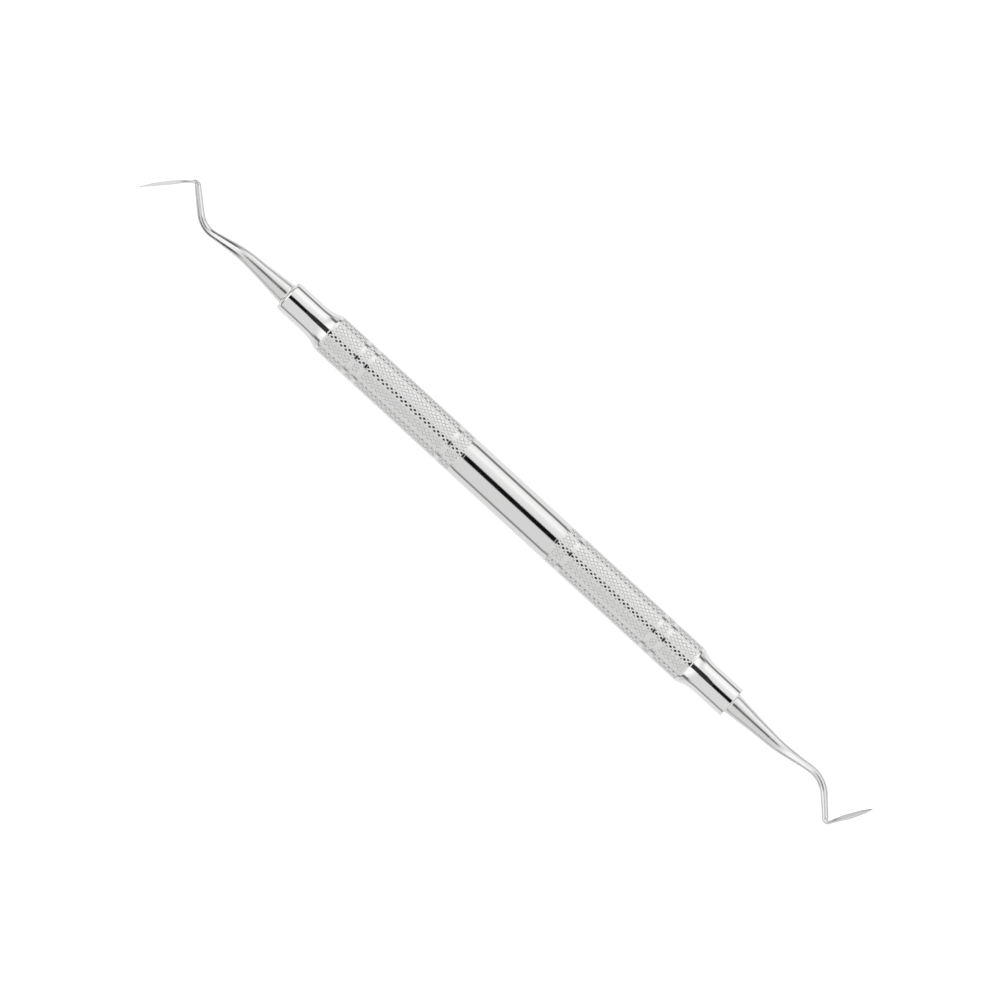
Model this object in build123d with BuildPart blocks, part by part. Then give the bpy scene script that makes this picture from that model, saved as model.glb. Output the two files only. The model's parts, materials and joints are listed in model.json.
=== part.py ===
from build123d import *
import math
import os

# Double-ended hand instrument with a hollow handle, in millimetres.
# Frame: the origin is on the handle's axis, midway along it; +X runs along the handle towards
# the right working end and +Z is up. The instrument lies on a surface one barrel radius below
# the axis. Both shanks dip towards that surface at their second bend and rise again to the tip.

# ---- Handle, the same on both sides of x = 0 ----
barrel_radius = 4.0
barrel_wall = 0.8
barrel_half_length = 44.6
groove_stations = (11.6, 15.0, 35.7, 38.1)
groove_width = 0.7
groove_depth = 0.05

neck_radius = 3.14
neck_start = 48.6
shoulder_bulge_share = 0.13
handle_half_length = 55.1
spigot_length = 8.0
lead_in_chamfer = 0.3
left_mouth_rounding = 0.6
right_mouth_rounding = 0.2

# ---- Where a working end is held in its neck ----
tang_radius = 1.6
tang_length = 14.0
seat_depth = 0.5
seat_radius = 2.45
seal_height = 0.25

# ---- Working ends ----
# Points of a bent axis are (distance out from the mouth, offset in Y).
shank_root_radius = 2.1
shank_shoulder_radius = 1.99
shank_shoulder_reach = 1.4
shank_waist_radius = 1.56
shank_waist_reach = 6.0
shank_slim_radius = 0.77
shank_slim_reach = 17.5
shank_end_radius = 0.62
first_bend_radius = 12.0
corner_radius = 0.75
second_bend_height = -3.05
corner_height = -1.3

left_first_bend = (11.0, 0.0)
left_second_bend = (19.7, -1.5)
left_second_bend_radius = 4.5
left_corner = (26.15, 4.15)
left_tip = (33.4, -4.0)
left_blade_roll = 66.0
left_blade_bow = 0.22

right_first_bend = (11.8, 0.0)
right_second_bend = (21.5, 1.3)
right_second_bend_radius = 5.5
right_corner = (27.5, -4.65)
right_tip = (32.2, 3.4)
right_blade_roll = 124.0
right_blade_bow = 0.0

# Both blades have one size: a spear that widens from a narrow root, narrows slowly over its
# middle and then runs to a fine point.
blade_length = 11.2
blade_root_width = 0.9
blade_root_thickness = 0.5
blade_width = 2.0
blade_thickness = 0.42
blade_widest_at = 0.38
blade_narrowed_width = 1.6
blade_narrowed_thickness = 0.36
blade_narrowed_at = 0.74
blade_point_width = 0.12
blade_point_thickness = 0.1

# ---- How finely a bent axis is divided into sections ----
sections_per_run = 5
sections_per_bend = 6
sections_per_blade = 8


def outward_plane(side):
    """Section plane through the handle's axis: local x points out of that side's mouth, y up."""
    return Plane(origin=(0, 0, 0), x_dir=(side, 0, 0), z_dir=(0, -side, 0))


def mouth_plane(side, inward=0.0):
    """Plane across the axis at one mouth, or some way inside it, facing out of the handle."""
    return Plane(
        origin=(side * (handle_half_length - inward), 0, 0),
        x_dir=(0, 1, 0),
        z_dir=(side, 0, 0),
    )


def make_barrel():
    """Hollow grip tube with round-bottomed ring grooves."""
    groove_radius = (groove_width**2 / 4 + groove_depth**2) / (2 * groove_depth)
    groove_centre = barrel_radius - groove_depth + groove_radius
    rings = [(side * x, groove_centre) for side in (-1, 1) for x in groove_stations]
    with BuildPart() as barrel:
        with BuildSketch(Plane.XZ):
            with Locations((0, barrel_radius - barrel_wall / 2)):
                Rectangle(2 * barrel_half_length, barrel_wall)
            with Locations(*rings):
                Circle(groove_radius, mode=Mode.SUBTRACT)
        revolve(axis=Axis.X)
    return barrel


def make_neck_bush(side, mouth_rounding):
    """Turned end piece: spigot, shoulder, neck, bore for the tang and seal seat. The shoulder
    turns over in a short bulge and runs down to the neck in a long hollow."""
    spigot_radius = barrel_radius - barrel_wall
    spigot_end = barrel_half_length - spigot_length
    bulge_end = (
        barrel_half_length + shoulder_bulge_share * (neck_start - barrel_half_length),
        barrel_radius - shoulder_bulge_share * (barrel_radius - neck_radius),
    )
    with BuildPart() as bush:
        with BuildSketch(outward_plane(side)):
            with BuildLine():
                Polyline(
                    (handle_half_length, neck_radius),
                    (handle_half_length, tang_radius),
                    (spigot_end, tang_radius),
                    (spigot_end, spigot_radius),
                    (barrel_half_length, spigot_radius),
                    (barrel_half_length, barrel_radius),
                )
                TangentArc((barrel_half_length, barrel_radius), bulge_end, tangent=(1, 0))
                TangentArc((neck_start, neck_radius), bulge_end, tangent=(-1, 0))
                Line((neck_start, neck_radius), (handle_half_length, neck_radius))
            make_face()
        revolve(axis=Axis.X)
        rims = bush.edges().filter_by(GeomType.CIRCLE).group_by(Axis.X)
        fillet(rims[-1 if side > 0 else 0].sort_by(SortBy.RADIUS)[-1], mouth_rounding)
        rims = bush.edges().filter_by(GeomType.CIRCLE).group_by(Axis.X)
        chamfer(rims[0 if side > 0 else -1].sort_by(SortBy.RADIUS)[-1], lead_in_chamfer)
        with BuildSketch(mouth_plane(side)):
            Circle(seat_radius)
        extrude(amount=-seat_depth, mode=Mode.SUBTRACT)
    return bush


def make_seal_ring(side):
    """Braze ring that fills the seat and rises in a hollow fillet against the shank."""
    crest = (handle_half_length + seal_height, shank_root_radius)
    rim = (handle_half_length, seat_radius)
    with BuildPart() as ring:
        with BuildSketch(outward_plane(side)):
            with BuildLine():
                Polyline(
                    rim,
                    (handle_half_length - seat_depth, seat_radius),
                    (handle_half_length - seat_depth, shank_root_radius),
                    crest,
                )
                TangentArc(crest, rim, tangent=(-1, 0))
            make_face()
        revolve(axis=Axis.X)
    return ring


def taper(stations, reach):
    """Section size at a distance along the axis, in straight steps between the stations."""
    for (near, near_size), (far, far_size) in zip(stations, stations[1:]):
        if reach <= far:
            share = (reach - near) / (far - near)
            return [a + (b - a) * share for a, b in zip(near_size, far_size)]
    return stations[-1][1]


def make_working_end(side, bends, bend_radius, corner, tip, roll, bow):
    """One forging: round tang, tapered bent shank, tight corner and spear-shaped blade."""

    def place(reach_and_offset, height):
        reach, offset = reach_and_offset
        return Vector(side * (handle_half_length + reach), offset, height)

    blade_rise = math.sqrt(blade_length**2 - math.dist(corner, tip) ** 2)
    corner_point = place(corner, corner_height)
    tip_point = place(tip, corner_height + blade_rise)
    forward = (tip_point - corner_point).normalized()
    level = forward.cross(Vector(0, 0, 1)).normalized()
    rise = level.cross(forward)
    across = level * math.cos(math.radians(roll)) + rise * math.sin(math.radians(roll))
    face_normal = forward.cross(across)

    with BuildLine() as route:
        FilletPolyline(
            place((0, 0), 0),
            place(bends[0], 0),
            place(bends[1], second_bend_height),
            corner_point,
            tip_point,
            radius=(first_bend_radius, bend_radius, corner_radius),
        )
    axis = route.wires()[0]
    runs = axis.order_edges()
    blade_start = axis.length - runs[-1].length
    corner_start = blade_start - runs[-2].length
    root = (blade_root_width / 2, blade_root_thickness / 2)
    widest = (blade_width / 2, blade_thickness / 2)
    narrowed = (blade_narrowed_width / 2, blade_narrowed_thickness / 2)
    point = (blade_point_width / 2, blade_point_thickness / 2)
    stations = [
        (0, (shank_root_radius, shank_root_radius)),
        (shank_shoulder_reach, (shank_shoulder_radius, shank_shoulder_radius)),
        (shank_waist_reach, (shank_waist_radius, shank_waist_radius)),
        (shank_slim_reach, (shank_slim_radius, shank_slim_radius)),
        (corner_start, (shank_end_radius, shank_end_radius)),
        (blade_start, root),
        (blade_start + blade_widest_at * runs[-1].length, widest),
        (blade_start + blade_narrowed_at * runs[-1].length, narrowed),
        (axis.length, point),
    ]

    with BuildPart() as end:
        with BuildSketch(mouth_plane(side, inward=tang_length)):
            Circle(tang_radius)
        extrude(amount=tang_length)
        chamfer(end.faces().sort_by(Axis.X)[0 if side > 0 else -1].edges(), lead_in_chamfer)
        with BuildSketch(mouth_plane(side, inward=seat_depth)):
            Circle(shank_root_radius)
        extrude(amount=seat_depth)
        reach = 0
        for run in runs:
            count = sections_per_bend if run.geom_type == GeomType.CIRCLE else sections_per_run
            if run is runs[-1]:
                count = sections_per_blade
            for step in range(count):
                share = reach / axis.length
                along_blade = max(0, reach - blade_start) / runs[-1].length
                centre = axis @ share + face_normal * 4 * bow * along_blade * (1 - along_blade)
                with BuildSketch(Plane(centre, x_dir=across, z_dir=axis % share)):
                    Ellipse(*taper(stations, reach))
                reach += run.length / count
        with BuildSketch(Plane(axis @ 1, x_dir=across, z_dir=axis % 1)):
            Ellipse(*point)
        loft()
    return end


pieces = {
    "handle_barrel": make_barrel(),
    "left_neck_bush": make_neck_bush(-1, left_mouth_rounding),
    "right_neck_bush": make_neck_bush(1, right_mouth_rounding),
    "left_seal_ring": make_seal_ring(-1),
    "right_seal_ring": make_seal_ring(1),
    "left_working_end": make_working_end(
        -1,
        (left_first_bend, left_second_bend),
        left_second_bend_radius,
        left_corner,
        left_tip,
        left_blade_roll,
        left_blade_bow,
    ),
    "right_working_end": make_working_end(
        1,
        (right_first_bend, right_second_bend),
        right_second_bend_radius,
        right_corner,
        right_tip,
        right_blade_roll,
        right_blade_bow,
    ),
}

os.makedirs("parts", exist_ok=True)
for name, piece in pieces.items():
    piece.part.label = name
    export_step(piece.part, f"parts/{name}.step")
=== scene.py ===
import json
import math

import bmesh
import bpy
import numpy as np
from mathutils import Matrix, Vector


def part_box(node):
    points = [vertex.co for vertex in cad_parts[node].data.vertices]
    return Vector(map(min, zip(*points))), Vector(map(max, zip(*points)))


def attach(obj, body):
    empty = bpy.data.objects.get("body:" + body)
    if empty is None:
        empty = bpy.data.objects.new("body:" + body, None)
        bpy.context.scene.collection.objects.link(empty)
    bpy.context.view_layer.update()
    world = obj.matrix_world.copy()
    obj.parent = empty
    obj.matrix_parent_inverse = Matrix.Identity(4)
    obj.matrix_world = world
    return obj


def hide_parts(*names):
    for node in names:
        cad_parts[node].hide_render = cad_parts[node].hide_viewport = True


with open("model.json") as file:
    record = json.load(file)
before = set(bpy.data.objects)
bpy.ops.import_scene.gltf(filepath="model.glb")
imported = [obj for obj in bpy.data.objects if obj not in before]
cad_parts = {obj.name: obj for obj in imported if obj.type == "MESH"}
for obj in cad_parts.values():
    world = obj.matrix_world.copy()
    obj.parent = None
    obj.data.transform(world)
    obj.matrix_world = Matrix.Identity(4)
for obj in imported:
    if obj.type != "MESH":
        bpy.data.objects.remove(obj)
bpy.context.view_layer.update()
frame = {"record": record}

# Looks of a double-ended dental instrument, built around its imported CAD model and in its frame:
# +X runs along the handle to the right working end and +Z is up. Lengths are in metres and angles
# in degrees, apart from what the working ends are worked out from, which is in millimetres.
MM = 0.001
ROOT_BODY = "root"
SIDES = {"left": -1, "right": 1}

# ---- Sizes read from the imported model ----
mounts = {mount["name"]: mount for mount in frame["record"]["mounts"]}
barrel_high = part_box("handle_barrel")[1]
BARREL_RADIUS = barrel_high.z
BARREL_END = barrel_high.x
CENTRE_BAND_END = mounts["grip_band"]["dims"]["length_mm"] * MM / 2
neck_mount = mounts["right_neck"]
NECK_RADIUS = neck_mount["dims"]["r_mm"] * MM
NECK_START = neck_mount["pos_m"][0] - neck_mount["dims"]["length_mm"] * MM / 2
HANDLE_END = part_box("right_neck_bush")[1].x
SEAT_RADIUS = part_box("right_seal_ring")[1].z
SEAL_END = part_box("right_seal_ring")[1].x
SEAT_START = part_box("right_seal_ring")[0].x
SPIGOT_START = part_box("right_neck_bush")[0].x

# ---- Handle details ----
BARREL_WALL = 0.8 * MM
TANG_RADIUS = 1.6 * MM
RING_STATIONS = (11.6 * MM, 15.0 * MM, 35.7 * MM, 38.1 * MM)
RING_WIDTH = 0.7 * MM
RING_DEPTH = 0.05 * MM
RING_STEPS = 10
KNURL_STARTS = 30
KNURL_PITCH = 1.156 * MM
KNURL_DEPTH = 0.05 * MM
KNURL_STEPS = 10
KNURL_FLANK_STEPS = 2
KNURL_RUN_OUT = 0.12 * MM
KNURL_PHASES = {"left": 0.25, "right": 0.0}
SHOULDER_BULGE_SHARE = 0.13
MOUTH_ROUNDINGS = {"left": 0.6 * MM, "right": 0.2 * MM}

# ---- Working ends ----
# These are the CAD model's own values, in millimetres. A point is (distance out from the mouth,
# offset in Y), a station is (distance along the axis, radius) and a blade size is half its width
# and half its thickness.
TANG_LENGTH = 14.0
SHANK_ROOT_RADIUS = 2.1
SHANK_STATIONS = ((0, SHANK_ROOT_RADIUS), (1.4, 1.99), (6.0, 1.56), (17.5, 0.77))
SHANK_END_RADIUS = 0.62
SECOND_BEND_HEIGHT = -3.05
CORNER_HEIGHT = -1.3
BEND_RADII = {"left": (12.0, 4.5, 0.75), "right": (12.0, 5.5, 0.75)}
FIRST_BENDS = {"left": (11.0, 0.0), "right": (11.8, 0.0)}
SECOND_BENDS = {"left": (19.7, -1.5), "right": (21.5, 1.3)}
CORNERS = {"left": (26.15, 4.15), "right": (27.5, -4.65)}
TIPS = {"left": (33.4, -4.0), "right": (32.2, 3.4)}
BLADE_ROLLS = {"left": 66, "right": 124}
BLADE_BOWS = {"left": 0.22, "right": 0.0}
BLADE_LENGTH = 11.2
BLADE_ROOT = (0.45, 0.25)
BLADE_WIDEST = (1.0, 0.21)
BLADE_WIDEST_AT = 0.38
BLADE_NARROWED = (0.8, 0.18)
BLADE_NARROWED_AT = 0.74
BLADE_POINT = (0.06, 0.05)
BLADE_FLAT_SHARE = 0.12
BEVEL_START = 0.03
BEVEL_RUN_IN = 0.15

# ---- How finely the meshes are divided ----
# An edge is sharp where its faces meet at more than SHARP_ANGLE. RUN_STEP is in millimetres and
# TURN_STEP in degrees, along the route of a working end.
SHARP_ANGLE = 20
LATHE_SEGMENTS = 240
BRAZE_SEGMENTS = 120
BRAZE_FILLET_STEPS = 8
CENTRE_BAND_ROWS = 12
BULGE_STEPS = 8
HOLLOW_STEPS = 24
NECK_ROWS = 8
MOUTH_STEPS = 8
SECTION_POINTS = 48
RUN_STEP = 0.25
FEWEST_RUN_STEPS = 2
TURN_STEP = 4
FEWEST_TURN_STEPS = 3

# ---- Looks of the metals ----
# A grain is a number of grains per metre along X, Y and Z, and a span is the part of a noise's
# range that is used. A roughness pair is for its two ends, and so is a colour pair.
TURNING_GRAIN = (9000, 60, 60)
TURNING_DEPTH = 0.4e-6
SMUDGE_GRAIN = (220, 300, 300)
SMUDGE_SPAN = (0.3, 0.75)
SCRATCH_GRAIN = (700, 14000, 14000)
SCRATCH_SPAN = (0.62, 0.72)
SCRATCH_DEPTH = 0.3e-6
SCRATCH_ROUGHNESS = 0.05
POLISHED_ROUGHNESS = (0.0675, 0.126)
POLISHED_TINTS = (0.98, 1.02)
SMUDGE_BLUE = 0.99
BAND_LIGHTNESS = 0.815
# The necks' copy of the turned steel is painted lighter than the band's: the steel's own colour
# plus painted light.
NECK_LIGHTNESS_WITH_PAINTED_LIGHT = 0.855
KNURL_GRAIN = (2500, 2500, 2500)
KNURL_GRAIN_DEPTH = 1.5e-6
KNURL_ROUGHNESS = (0.13, 0.32)
# Knurl colours for the diamond tops and for the groove bottoms: the darker groove colour is
# painted shade, and the lighter tops also stand for rubbing wear.
KNURL_WEAR_AND_SHADE_COLOURS = ((0.82, 0.82, 0.815), (0.79, 0.79, 0.785))
WEAR_GRAIN = (180, 260, 260)
WEAR_ROUGHNESS = (-0.03, 0.05)
BRAZE_GRAIN = (1500, 1500, 1500)
BRAZE_DEPTH = 12e-6
BRAZE_ROUGHNESS = (0.16, 0.3)
BRAZE_COLOURS = ((0.86, 0.85, 0.82), (0.8, 0.79, 0.76))
GRINDING_GRAIN = (1200, 5200, 5200)
GRINDING_DEPTH = 0.8e-6
HAND_SMUDGE_GRAIN = (350, 450, 450)
GROUND_ROUGHNESS = (0.2, 0.3)
GROUND_COLOURS = ((0.79, 0.79, 0.79), (0.83, 0.83, 0.82))
MIDDLE_SPAN = (0.3, 0.7)
NOISE_ROUGHNESS = 0.55
WHOLE = (0, 1)

# ---- Studio ----
# Side stops are (lean from straight up towards +Y, grey) and end stops are (upward part of the
# direction, grey). END_BLEND_SPAN and END_BRIGHTENING_SPAN are lengthwise parts of the direction.
SIDE_STOPS = (
    (-180, 0.72),
    (-104, 0.72),
    (-100, 0.25),
    (-89, 0.25),
    (-85, 0.66),
    (-12, 0.67),
    (-9, 0.003),
    (13, 0.003),
    (16, 0.70),
    (43, 0.80),
    (58, 0.95),
    (82, 0.85),
    (88, 0.8),
    (92, 0.2),
    (106, 0.2),
    (110, 0.78),
    (180, 0.72),
)
END_STOPS = ((-1, 0.57), (-0.12, 0.57), (-0.04, 0.12), (0.14, 0.12), (0.26, 0.68), (1, 0.74))
LEAN_SPAN = (-180, 180)
UPWARD_SPAN = (-1, 1)
END_BLEND_SPAN = (0.3, 0.44)
END_BRIGHTENING_SPAN = (0.44, 0.62)
TENT_STRENGTHS = (1.2, 1.65)
FLOOR_HALF_WIDTH = 1.5
FLAG_WIDTH = 14 * MM
FLAG_HEIGHT = 26 * MM
FLAG_FEET = {"front": (-82 * MM, -28.5 * MM), "back": (-91 * MM, 22 * MM)}
FLAG_FACINGS = {"front": 68, "back": -49}
STRIP_HEIGHT = 7.3 * MM
STRIP_NEAR_REACH = -0.6 * MM
STRIP_NEAR_HALF_WIDTH = 1.7 * MM
STRIP_NEAR_OFFSETS = {"left": 0.2 * MM, "right": 0.9 * MM}
STRIP_FAR_REACH = 1.8 * MM
STRIP_FAR_HALF_WIDTH = 1.1 * MM
STRIP_FAR_OFFSET = 0.2 * MM
CAMERA_PLACE = (-1.15 * MM, -1.36 * MM, 400 * MM)
CAMERA_TURN = 42.586
CAMERA_VIEW_WIDTH = 182.6 * MM
CAMERA_CLIP_START = 10 * MM
CAMERA_CLIP_END = 5


# ---------------------------------------------------------------- mesh helpers


def skin(name, rows, loop=False, split=None):
    """Closed mesh over rows of points. Each row is a ring; the last row meets the first one
    if loop is true, and otherwise both are capped. split says which way a quad is cut."""
    rows = np.asarray(rows, float)
    count, around = rows.shape[:2]
    faces = []
    for i in range(count if loop else count - 1):
        here = i * around
        there = (i + 1) % count * around
        for j in range(around):
            k = (j + 1) % around
            quad = (here + j, there + j, there + k, here + k)
            way = split(i, j) if split else None
            if way is None:
                faces.append(quad)
            elif way:
                faces += [(quad[0], quad[1], quad[2]), (quad[0], quad[2], quad[3])]
            else:
                faces += [(quad[0], quad[1], quad[3]), (quad[1], quad[2], quad[3])]
    if not loop:
        faces.append(tuple(range(around)))
        faces.append(tuple((count - 1) * around + j for j in reversed(range(around))))
    mesh = bpy.data.meshes.new(name)
    mesh.from_pydata(rows.reshape(-1, 3).tolist(), [], faces)
    cleaned = bmesh.new()
    cleaned.from_mesh(mesh)
    bmesh.ops.recalc_face_normals(cleaned, faces=cleaned.faces)
    cleaned.to_mesh(mesh)
    cleaned.free()
    mesh.shade_smooth()
    mesh.set_sharp_from_angle(angle=math.radians(SHARP_ANGLE))
    piece = bpy.data.objects.new(name, mesh)
    bpy.context.scene.collection.objects.link(piece)
    return piece


def ring(x, radii, angles):
    """Ring of points round the X axis. An angle of 0 is at the top and grows towards +Y."""
    return np.stack([np.full_like(angles, x), radii * np.sin(angles), radii * np.cos(angles)], 1)


def lathe(name, profile, segments=LATHE_SEGMENTS):
    """Closed outline of (x, radius) points, turned round the X axis."""
    angles = np.arange(segments) * math.tau / segments
    return skin(name, [ring(x, np.full(segments, r), angles) for x, r in profile], loop=True)


def arc_points(centre, radius, start, end, steps):
    """Points on an arc in the (x, radius) plane; the angles are in degrees."""
    return [
        (centre[0] + radius * math.cos(a), centre[1] + radius * math.sin(a))
        for a in np.radians(np.linspace(start, end, steps + 1))
    ]


# ---------------------------------------------------------------- handle


def ring_depth(x):
    """Depth of the nearest turned ring groove at a distance from the middle of the handle."""
    nearest = min(abs(abs(x) - station) for station in RING_STATIONS)
    return max(0.0, RING_DEPTH * (1 - (2 * nearest / RING_WIDTH) ** 2))


def knurl_zones():
    """(start, end) of each knurled stretch on the right side, outward from the first ring."""
    starts = [station + RING_WIDTH / 2 for station in RING_STATIONS]
    ends = [station - RING_WIDTH / 2 for station in RING_STATIONS[1:]]
    return list(zip(starts, ends + [BARREL_END]))


def grip_stations():
    """x and lattice number of each row along a grip; a row off the lattice has no number."""
    step = KNURL_PITCH / KNURL_STEPS
    rows = [(CENTRE_BAND_END, None)]
    for station, (start, end) in zip(RING_STATIONS, knurl_zones()):
        for i in range(RING_STEPS):
            rows.append((station + RING_WIDTH * (i / RING_STEPS - 0.5), None))
        rows.append((start, None))
        first = math.floor(start / step) + 1
        last = math.ceil(end / step) - 1
        rows += [(number * step, number) for number in range(first, last + 1)]
    rows.append((BARREL_END, None))
    return rows


def knurl_relief(x, number, column):
    """0 on a diamond's flat top and 1 at the bottom of a V groove."""
    if number is None:
        return 0.0
    run_out = min(min(x - start, end - x) for start, end in knurl_zones() if start <= x <= end)
    fade = min(1.0, run_out / KNURL_RUN_OUT)
    deepest = 0.0
    for position in (number + column, number - column):
        remainder = position % KNURL_STEPS
        from_groove = min(remainder, KNURL_STEPS - remainder)
        deepest = max(deepest, 1 - from_groove / KNURL_FLANK_STEPS)
    return fade * deepest


def make_grip(side_name):
    """Knurled half of the grip tube, with its ring grooves, from the centre band to the bush."""
    side = SIDES[side_name]
    columns = KNURL_STARTS * KNURL_STEPS
    turn = math.tau / columns
    angles = (np.arange(columns) + KNURL_PHASES[side_name] * KNURL_STEPS) * turn
    stations = grip_stations()
    rows, relief = [], []
    for x, number in stations:
        cut = np.array([knurl_relief(x, number, column) for column in range(columns)])
        radii = BARREL_RADIUS - ring_depth(x) - KNURL_DEPTH * cut
        rows.append(ring(side * x, radii, angles))
        relief.append(cut)
    bore = np.full(columns, BARREL_RADIUS - BARREL_WALL)
    for x in (BARREL_END, CENTRE_BAND_END):
        rows.append(ring(side * x, bore, angles))
        relief.append(np.zeros(columns))
    creases = {0, KNURL_FLANK_STEPS, KNURL_STEPS - KNURL_FLANK_STEPS}

    def split(i, column):
        if i + 1 >= len(stations) or stations[i][1] is None:
            return None
        return (stations[i][1] - column) % KNURL_STEPS in creases

    grip = skin(f"{side_name}_knurled_grip", rows, loop=True, split=split)
    attribute = grip.data.attributes.new("relief", "FLOAT", "POINT")
    attribute.data.foreach_set("value", np.concatenate(relief).astype(np.float32))
    return grip


def make_centre_band():
    """Plain polished band between the grips."""
    bore = BARREL_RADIUS - BARREL_WALL
    ends = (-CENTRE_BAND_END, CENTRE_BAND_END)
    profile = [(x, BARREL_RADIUS) for x in np.linspace(*ends, CENTRE_BAND_ROWS)]
    profile += [(x, bore) for x in reversed(ends)]
    return lathe("centre_band", profile)


def make_neck(side_name):
    """Turned end piece: shoulder with a short bulge and a long hollow, neck, rounded mouth, seal
    seat, bore and spigot."""
    side = SIDES[side_name]
    run, drop = NECK_START - BARREL_END, BARREL_RADIUS - NECK_RADIUS
    sweep = 2 * math.degrees(math.atan2(drop, run))
    both_radii = run / math.sin(math.radians(sweep))
    bulge = both_radii * SHOULDER_BULGE_SHARE
    hollow = both_radii - bulge
    rounding = MOUTH_ROUNDINGS[side_name]
    neck_end = HANDLE_END - rounding
    bulge_centre = (BARREL_END, BARREL_RADIUS - bulge)
    hollow_centre = (NECK_START, NECK_RADIUS + hollow)
    mouth_centre = (neck_end, NECK_RADIUS - rounding)
    outer = arc_points(bulge_centre, bulge, 90, 90 - sweep, BULGE_STEPS)
    outer += arc_points(hollow_centre, hollow, 270 - sweep, 270, HOLLOW_STEPS)[1:]
    outer += [(x, NECK_RADIUS) for x in np.linspace(NECK_START, neck_end, NECK_ROWS)[1:-1]]
    outer += arc_points(mouth_centre, rounding, 90, 0, MOUTH_STEPS)
    bore = [
        (HANDLE_END, SEAT_RADIUS),
        (SEAT_START, SEAT_RADIUS),
        (SEAT_START, TANG_RADIUS),
        (SPIGOT_START, TANG_RADIUS),
        (SPIGOT_START, BARREL_RADIUS - BARREL_WALL),
        (BARREL_END, BARREL_RADIUS - BARREL_WALL),
    ]
    return lathe(f"{side_name}_neck", [(side * x, r) for x, r in outer + bore])


def make_seal_ring(side_name):
    """Braze ring with a hollow fillet that climbs from the mouth to the shank."""
    side = SIDES[side_name]
    inner = SHANK_ROOT_RADIUS * MM
    fillet = []
    for share in np.linspace(0, 1, BRAZE_FILLET_STEPS + 1):
        climb = 1 - math.sqrt(1 - share**2)
        radius = SEAT_RADIUS + (inner - SEAT_RADIUS) * share
        fillet.append((HANDLE_END + (SEAL_END - HANDLE_END) * climb, radius))
    seat = [(SEAT_START, inner), (SEAT_START, SEAT_RADIUS)]
    return lathe(f"{side_name}_braze", [(side * x, r) for x, r in fillet + seat], BRAZE_SEGMENTS)


# ---------------------------------------------------------------- working ends, in millimetres


def unit(vector):
    return vector / np.linalg.norm(vector)


def bent_route(points, radii):
    """Places and directions along straight runs joined by tangent arcs, and the distance
    along the route at which each run starts and ends."""
    here = points[0]
    places, directions, marks = [here], [unit(points[1] - here)], [0.0]
    length = 0.0
    for i in range(1, len(points)):
        forward = unit(points[i] - points[i - 1])
        is_last = i == len(points) - 1
        setback = 0.0
        if not is_last:
            onward = unit(points[i + 1] - points[i])
            turn = math.acos(float(forward @ onward))
            setback = radii[i - 1] * math.tan(turn / 2)
        stop = points[i] - forward * setback
        run = float(np.linalg.norm(stop - here))
        steps = max(FEWEST_RUN_STEPS, round(run / RUN_STEP))
        for step in range(1, steps + 1):
            places.append(here + (stop - here) * step / steps)
            directions.append(forward)
        length += run
        marks.append(length)
        if is_last:
            break
        inward = unit(onward - forward * float(forward @ onward))
        steps = max(FEWEST_TURN_STEPS, round(math.degrees(turn) / TURN_STEP))
        for step in range(1, steps + 1):
            angle = turn * step / steps
            offset = math.sin(angle) * forward + (1 - math.cos(angle)) * inward
            places.append(stop + radii[i - 1] * offset)
            directions.append(math.cos(angle) * forward + math.sin(angle) * inward)
        here = places[-1]
        length += radii[i - 1] * turn
        marks.append(length)
    return np.array(places), np.array(directions), marks


def section(half_width, half_thickness, bevelled):
    """Ring of (across, through) points. It is an ellipse where bevelled is 0, and a flat blade
    with two ground bevels where it is 1."""
    angles = np.arange(SECTION_POINTS) * math.tau / SECTION_POINTS
    cos, sin = np.cos(angles), np.sin(angles)
    slope = np.clip((1 - np.abs(cos)) / (1 - BLADE_FLAT_SHARE), 0, 1)
    through = (1 - bevelled) * sin + bevelled * np.sign(sin) * slope
    return np.stack([half_width * cos, half_thickness * through], 1)


def flat_ring(outline, across, forward):
    """Section outline set square to the route, with its width as near to across as it can be."""
    sideways = unit(across - forward * float(across @ forward))
    through = np.cross(forward, sideways)
    return outline[:, :1] * sideways + outline[:, 1:] * through


def end_sizes(distances, marks):
    """Half widths and half thicknesses at distances along a working end's route."""
    corner_start, blade_start, end = marks[-3:]
    blade_run = end - blade_start
    stations = [(reach, radius, radius) for reach, radius in SHANK_STATIONS]
    stations.append((corner_start, SHANK_END_RADIUS, SHANK_END_RADIUS))
    stations.append((blade_start, *BLADE_ROOT))
    stations.append((blade_start + BLADE_WIDEST_AT * blade_run, *BLADE_WIDEST))
    stations.append((blade_start + BLADE_NARROWED_AT * blade_run, *BLADE_NARROWED))
    stations.append((end, *BLADE_POINT))
    where, widths, thicknesses = np.array(stations).T
    return np.interp(distances, where, widths), np.interp(distances, where, thicknesses)


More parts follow.
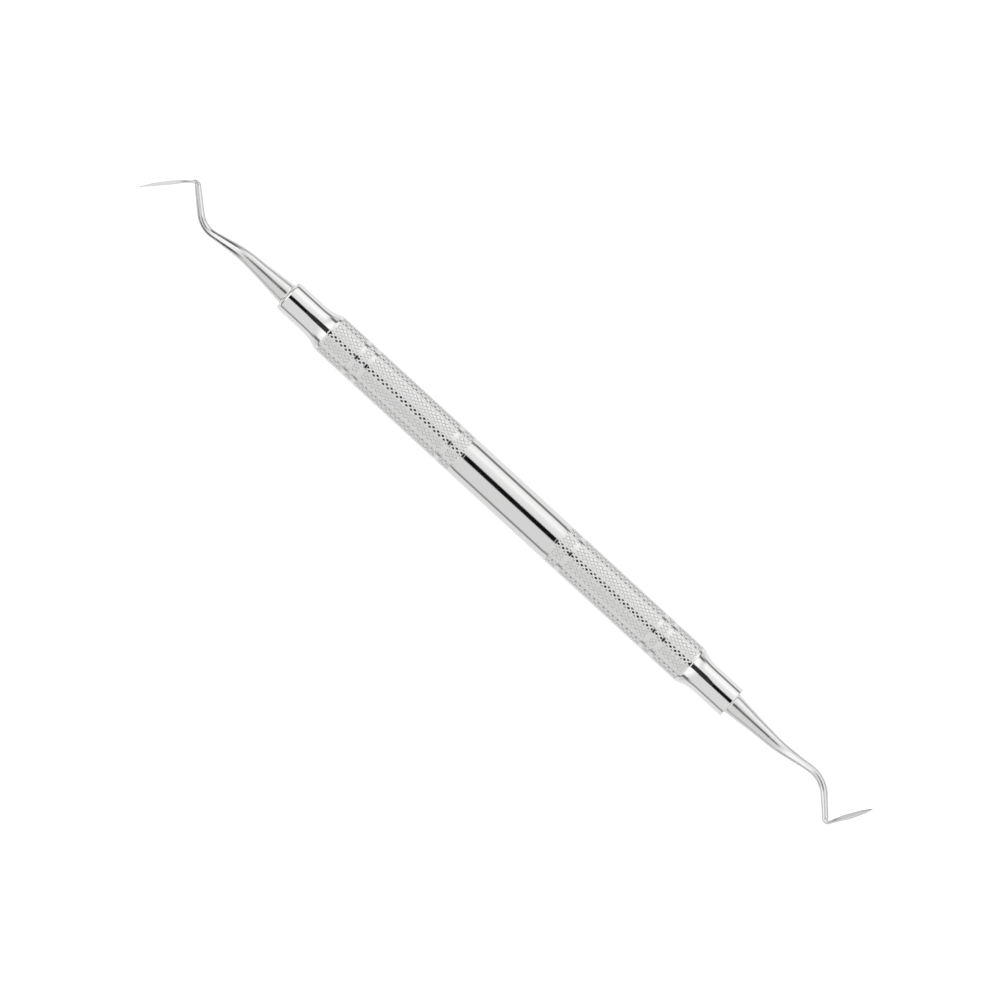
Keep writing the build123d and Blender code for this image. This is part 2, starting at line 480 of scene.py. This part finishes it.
def make_working_end(side_name):
    """Tang, tapered bent shank, tight corner and spear-shaped blade in one piece."""
    side = SIDES[side_name]

    def place(reach_and_offset, height):
        reach, offset = reach_and_offset
        return np.array([side * (HANDLE_END / MM + reach), offset, height])

    corner, tip = CORNERS[side_name], TIPS[side_name]
    rise = math.sqrt(BLADE_LENGTH**2 - math.dist(corner, tip) ** 2)
    corner_point = place(corner, CORNER_HEIGHT)
    tip_point = place(tip, CORNER_HEIGHT + rise)
    forward = unit(tip_point - corner_point)
    level = unit(np.cross(forward, (0, 0, 1)))
    upward = np.cross(level, forward)
    roll = math.radians(BLADE_ROLLS[side_name])
    across = level * math.cos(roll) + upward * math.sin(roll)
    face_normal = np.cross(forward, across)

    route = [
        place((0, 0), 0),
        place(FIRST_BENDS[side_name], 0),
        place(SECOND_BENDS[side_name], SECOND_BEND_HEIGHT),
        corner_point,
        tip_point,
    ]
    places, directions, marks = bent_route(route, BEND_RADII[side_name])
    steps = np.linalg.norm(np.diff(places, axis=0), axis=1)
    distances = np.concatenate([[0], np.cumsum(steps)])
    distances *= marks[-1] / distances[-1]
    half_widths, half_thicknesses = end_sizes(distances, marks)
    along_blade = np.clip((distances - marks[-2]) / (marks[-1] - marks[-2]), 0, 1)
    bevelled = np.clip((along_blade - BEVEL_START) / BEVEL_RUN_IN, 0, 1)
    bow = 4 * BLADE_BOWS[side_name] * along_blade * (1 - along_blade)

    outward = np.array([side, 0.0, 0.0])
    seat_depth = (HANDLE_END - SEAT_START) / MM
    tang_rows = (
        (TANG_LENGTH, TANG_RADIUS / MM),
        (seat_depth, TANG_RADIUS / MM),
        (seat_depth, SHANK_ROOT_RADIUS),
    )
    rows = []
    for inward, radius in tang_rows:
        outline = section(radius, radius, 0)
        rows.append(place((-inward, 0), 0) + flat_ring(outline, across, outward))
    for i, direction in enumerate(directions):
        outline = section(half_widths[i], half_thicknesses[i], bevelled[i])
        centre = places[i] + face_normal * bow[i]
        rows.append(centre + flat_ring(outline, across, direction))
    return skin(f"{side_name}_shank_and_blade", np.array(rows) * MM)


# ---------------------------------------------------------------- node helpers


class Nodes:
    """Small helper that adds linked nodes to the node tree of a material or a world."""

    MIX_COLOUR_INPUTS = (6, 7)
    MIX_COLOUR_OUTPUT = 2

    def __init__(self, owner):
        owner.use_nodes = True
        self.nodes = owner.node_tree.nodes
        self.links = owner.node_tree.links

    def add(self, kind, inputs=None, **settings):
        """New node. An input is a number, a vector or another node's socket."""
        node = self.nodes.new(kind)
        for key, value in settings.items():
            setattr(node, key, value)
        for key, value in (inputs or {}).items():
            if isinstance(value, bpy.types.NodeSocket):
                self.links.new(value, node.inputs[key])
            else:
                node.inputs[key].default_value = value
        return node

    def math(self, operation, *values):
        return self.add("ShaderNodeMath", dict(enumerate(values)), operation=operation).outputs[0]

    def remap(self, value, span, new_span):
        """Value moved from one (low, high) to another, and held within the new one."""
        inputs = {
            "Value": value,
            "From Min": span[0],
            "From Max": span[1],
            "To Min": new_span[0],
            "To Max": new_span[1],
        }
        return self.add("ShaderNodeMapRange", inputs).outputs["Result"]

    def mix_colours(self, share, first, second):
        """Mix of two colours, each a socket or its red, green and blue."""
        inputs = {"Factor": share}
        for key, colour in zip(self.MIX_COLOUR_INPUTS, (first, second)):
            is_socket = isinstance(colour, bpy.types.NodeSocket)
            inputs[key] = colour if is_socket else (*colour, 1)
        node = self.add("ShaderNodeMix", inputs, data_type="RGBA")
        return node.outputs[self.MIX_COLOUR_OUTPUT]


# ---------------------------------------------------------------- materials


class Shader(Nodes):
    """Material with a Principled shader."""

    def __init__(self, name, metallic=1.0):
        self.material = bpy.data.materials.new(name)
        super().__init__(self.material)
        self.surface = self.nodes["Principled BSDF"]
        self.fix("Metallic", metallic)

    def fix(self, socket, value):
        """Gives the shader a value that is the same all over."""
        self.surface.inputs[socket].default_value = value

    def drive(self, socket, value):
        """Lets another node's output drive the shader."""
        self.links.new(value, self.surface.inputs[socket])

    def stretched_noise(self, grain, detail):
        """Noise with its own number of grains per metre along X, Y and Z."""
        place = self.add("ShaderNodeTexCoord").outputs["Object"]
        inputs = {
            "Vector": self.add("ShaderNodeMapping", {"Vector": place, "Scale": grain}).outputs[0],
            "Scale": 1.0,
            "Detail": detail,
            "Roughness": NOISE_ROUGHNESS,
        }
        return self.add("ShaderNodeTexNoise", inputs).outputs["Fac"]

    def bump(self, height, depth, normal=None):
        """Bump whose full height is depth metres."""
        inputs = {"Height": height, "Distance": depth, "Strength": 1.0}
        if normal is not None:
            inputs["Normal"] = normal
        return self.add("ShaderNodeBump", inputs).outputs[0]


def turned_steel(name, lightness):
    """Polished stainless steel that was turned in a lathe: faint rings, smudges and scratches."""
    shader = Shader(name)
    rings = shader.stretched_noise(TURNING_GRAIN, detail=2.0)
    smudges = shader.stretched_noise(SMUDGE_GRAIN, detail=4.0)
    scratches = shader.stretched_noise(SCRATCH_GRAIN, detail=1.0)
    scratches = shader.remap(scratches, SCRATCH_SPAN, WHOLE)
    rough = shader.remap(smudges, SMUDGE_SPAN, POLISHED_ROUGHNESS)
    scratched = shader.math("MULTIPLY", scratches, SCRATCH_ROUGHNESS)
    shader.drive("Roughness", shader.math("ADD", rough, scratched))
    dull, bright = [lightness * share for share in POLISHED_TINTS]
    smudge_colour = (dull, dull, dull * SMUDGE_BLUE)
    colour = shader.mix_colours(smudges, smudge_colour, (bright, bright, bright))
    shader.drive("Base Color", colour)
    normal = shader.bump(rings, TURNING_DEPTH)
    shader.drive("Normal", shader.bump(scratches, SCRATCH_DEPTH, normal))
    return shader.material


def knurled_steel(name):
    """The same steel where it is knurled: rougher grooves and tops rubbed smoother, and a colour
    with painted shade that darkens towards the groove bottoms; its lighter tops also stand for
    the rubbing.
    """
    shader = Shader(name)
    relief = shader.add("ShaderNodeAttribute", attribute_name="relief").outputs["Fac"]
    grain = shader.stretched_noise(KNURL_GRAIN, detail=4.0)
    wear = shader.stretched_noise(WEAR_GRAIN, detail=3.0)
    rough = shader.remap(relief, WHOLE, KNURL_ROUGHNESS)
    worn = shader.remap(wear, MIDDLE_SPAN, WEAR_ROUGHNESS)
    shader.drive("Roughness", shader.math("ADD", rough, worn))
    # Painted shade: the colour darkens towards the bottoms of the V grooves, and the lighter tops
    # also stand for rubbing wear.
    shader.drive("Base Color", shader.mix_colours(relief, *KNURL_WEAR_AND_SHADE_COLOURS))
    shader.drive("Normal", shader.bump(grain, KNURL_GRAIN_DEPTH))
    return shader.material


def braze_metal(name):
    """Silver braze that has flowed and been wiped: soft lumps, slightly warm."""
    shader = Shader(name)
    lumps = shader.stretched_noise(BRAZE_GRAIN, detail=3.0)
    shader.drive("Roughness", shader.remap(lumps, MIDDLE_SPAN, BRAZE_ROUGHNESS))
    shader.drive("Base Color", shader.mix_colours(lumps, *BRAZE_COLOURS))
    shader.drive("Normal", shader.bump(lumps, BRAZE_DEPTH))
    return shader.material


def ground_steel(name):
    """Hardened steel, ground and hand polished along its length."""
    shader = Shader(name)
    grinding = shader.stretched_noise(GRINDING_GRAIN, detail=2.0)
    smudges = shader.stretched_noise(HAND_SMUDGE_GRAIN, detail=4.0)
    shader.drive("Roughness", shader.remap(smudges, SMUDGE_SPAN, GROUND_ROUGHNESS))
    shader.drive("Base Color", shader.mix_colours(smudges, *GROUND_COLOURS))
    shader.drive("Normal", shader.bump(grinding, GRINDING_DEPTH))
    return shader.material


def dark_card(name):
    """Black card with no shine."""
    shader = Shader(name, metallic=0.0)
    shader.fix("Base Color", (0.02, 0.02, 0.02, 1))
    shader.fix("Roughness", 1.0)
    return shader.material


def floor_paper(name):
    """Plain white card, lit a little from below as on a light table."""
    shader = Shader(name, metallic=0.0)
    shader.fix("Base Color", (0.9, 0.9, 0.9, 1))
    shader.fix("Roughness", 0.9)
    shader.fix("Emission Color", (1, 1, 1, 1))
    shader.fix("Emission Strength", 0.47)
    return shader.material


# ---------------------------------------------------------------- studio


def greys(tree, value, span, stops):
    """Grey that follows a value over its (low, high) through stops of (value, grey)."""
    low, high = span
    ramp = tree.add("ShaderNodeValToRGB", {0: tree.remap(value, span, WHOLE)})
    elements = ramp.color_ramp.elements
    while len(elements) < len(stops):
        elements.new(0.5)
    for element, (position, grey) in zip(elements, stops):
        element.position = (position - low) / (high - low)
        element.color = (grey, grey, grey, 1)
    return ramp.outputs[0]


def studio_light():
    """Light tent round the object, with a darker seam near the table. Its long sides are
    brighter towards +Y than towards -Y and leave a dark gap overhead for the camera. Its two
    ends have no gap overhead, and are the brightest where they are far from it. The camera
    itself sees a plain white backdrop."""
    world = bpy.data.worlds.new("light_tent")
    tree = Nodes(world)
    direction = tree.add("ShaderNodeTexCoord").outputs["Generated"]
    along, sideways, upward = tree.add("ShaderNodeSeparateXYZ", {0: direction}).outputs
    lean = tree.math("DEGREES", tree.math("ARCTAN2", sideways, upward))
    lengthwise = tree.math("ABSOLUTE", along)
    sides = greys(tree, lean, LEAN_SPAN, SIDE_STOPS)
    ends = greys(tree, upward, UPWARD_SPAN, END_STOPS)
    tent = tree.nodes["Background"]
    end_share = tree.remap(lengthwise, END_BLEND_SPAN, WHOLE)
    tree.links.new(tree.mix_colours(end_share, sides, ends), tent.inputs["Color"])
    strength = tree.remap(lengthwise, END_BRIGHTENING_SPAN, TENT_STRENGTHS)
    tree.links.new(strength, tent.inputs["Strength"])
    backdrop = tree.add("ShaderNodeBackground", {"Color": (1, 1, 1, 1)})
    is_camera = tree.add("ShaderNodeLightPath").outputs["Is Camera Ray"]
    inputs = {0: is_camera, 1: tent.outputs[0], 2: backdrop.outputs[0]}
    seen = tree.add("ShaderNodeMixShader", inputs)
    tree.links.new(seen.outputs[0], tree.nodes["World Output"].inputs["Surface"])
    bpy.context.scene.world = world


def make_card(name, corners, material):
    """Flat card that is part of the studio and not of the object."""
    mesh = bpy.data.meshes.new(name)
    mesh.from_pydata(corners, [], [(0, 1, 2, 3)])
    mesh.materials.append(material)
    card = bpy.data.objects.new(name, mesh)
    bpy.context.scene.collection.objects.link(card)
    return card


def make_floor():
    """Large card that the handle lies on. Only its shade shows, not its reflection."""
    half = FLOOR_HALF_WIDTH
    outline = ((-half, -half), (half, -half), (half, half), (-half, half))
    corners = [(x, y, -BARREL_RADIUS) for x, y in outline]
    floor = make_card("floor", corners, floor_paper("floor_card"))
    floor.visible_glossy = False


def make_dark_card(name, corners, material):
    """Dark card that shows only in reflections."""
    card = make_card(name, corners, material)
    card.visible_camera = False
    card.visible_diffuse = False
    card.visible_shadow = False


def make_flags(material):
    """Two upright dark cards beside the left shank, which draw its dark lines."""
    top = Vector((0, 0, FLAG_HEIGHT))
    for name, (x, y) in FLAG_FEET.items():
        foot = Vector((x, y, -BARREL_RADIUS))
        facing = math.radians(FLAG_FACINGS[name])
        reach = Vector((-math.sin(facing), math.cos(facing), 0)) * FLAG_WIDTH / 2
        corners = [foot - reach, foot + reach, foot + reach + top, foot - reach + top]
        make_dark_card(f"flag_{name}", corners, material)


def make_strips(material):
    """Small tapered dark strip over each neck, where the hollow of its shoulder focuses. It
    carries the neck's black line up the shoulder."""
    for side_name, side in SIDES.items():
        near = side * (NECK_START + STRIP_NEAR_REACH)
        far = side * (NECK_START + STRIP_FAR_REACH)
        near_offset = STRIP_NEAR_OFFSETS[side_name]
        corners = [
            (near, near_offset - STRIP_NEAR_HALF_WIDTH, STRIP_HEIGHT),
            (far, STRIP_FAR_OFFSET - STRIP_FAR_HALF_WIDTH, STRIP_HEIGHT),
            (far, STRIP_FAR_OFFSET + STRIP_FAR_HALF_WIDTH, STRIP_HEIGHT),
            (near, near_offset + STRIP_NEAR_HALF_WIDTH, STRIP_HEIGHT),
        ]
        make_dark_card(f"strip_{side_name}", corners, material)


def make_camera():
    """Straight down, with the handle running from upper left to lower right."""
    data = bpy.data.cameras.new("camera")
    data.type = "ORTHO"
    data.ortho_scale = CAMERA_VIEW_WIDTH
    data.clip_start = CAMERA_CLIP_START
    data.clip_end = CAMERA_CLIP_END
    camera = bpy.data.objects.new("camera", data)
    camera.location = CAMERA_PLACE
    camera.rotation_euler = (0, 0, math.radians(CAMERA_TURN))
    bpy.context.scene.collection.objects.link(camera)
    bpy.context.scene.camera = camera


# ---------------------------------------------------------------- the object and its studio


def finish_piece(piece, material, slot, *nodes):
    """Gives a piece its material, attaches it to the body it rides on and hides the CAD nodes it
    stands for.
    """
    piece.data.materials.append(material)
    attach(piece, ROOT_BODY)
    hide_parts(*nodes)


band_steel = turned_steel("band_steel", BAND_LIGHTNESS)
# The necks get a lighter copy of the band's steel, as painted light.
neck_steel = turned_steel("neck_steel", NECK_LIGHTNESS_WITH_PAINTED_LIGHT)
knurled = knurled_steel("knurled_steel")
braze = braze_metal("silver_braze")
ground = ground_steel("ground_steel")

finish_piece(make_centre_band(), band_steel, "barrel_steel", "handle_barrel")
for side_name in SIDES:
    finish_piece(make_grip(side_name), knurled, "barrel_steel", "handle_barrel")
    finish_piece(make_neck(side_name), neck_steel, "neck_steel", f"{side_name}_neck_bush")
    finish_piece(make_seal_ring(side_name), braze, "braze", f"{side_name}_seal_ring")
    finish_piece(make_working_end(side_name), ground, "blade_steel", f"{side_name}_working_end")

studio_light()
make_floor()
black_card = dark_card("black_card")
make_flags(black_card)
make_strips(black_card)
make_camera()
bpy.context.scene.view_settings.view_transform = "Standard"
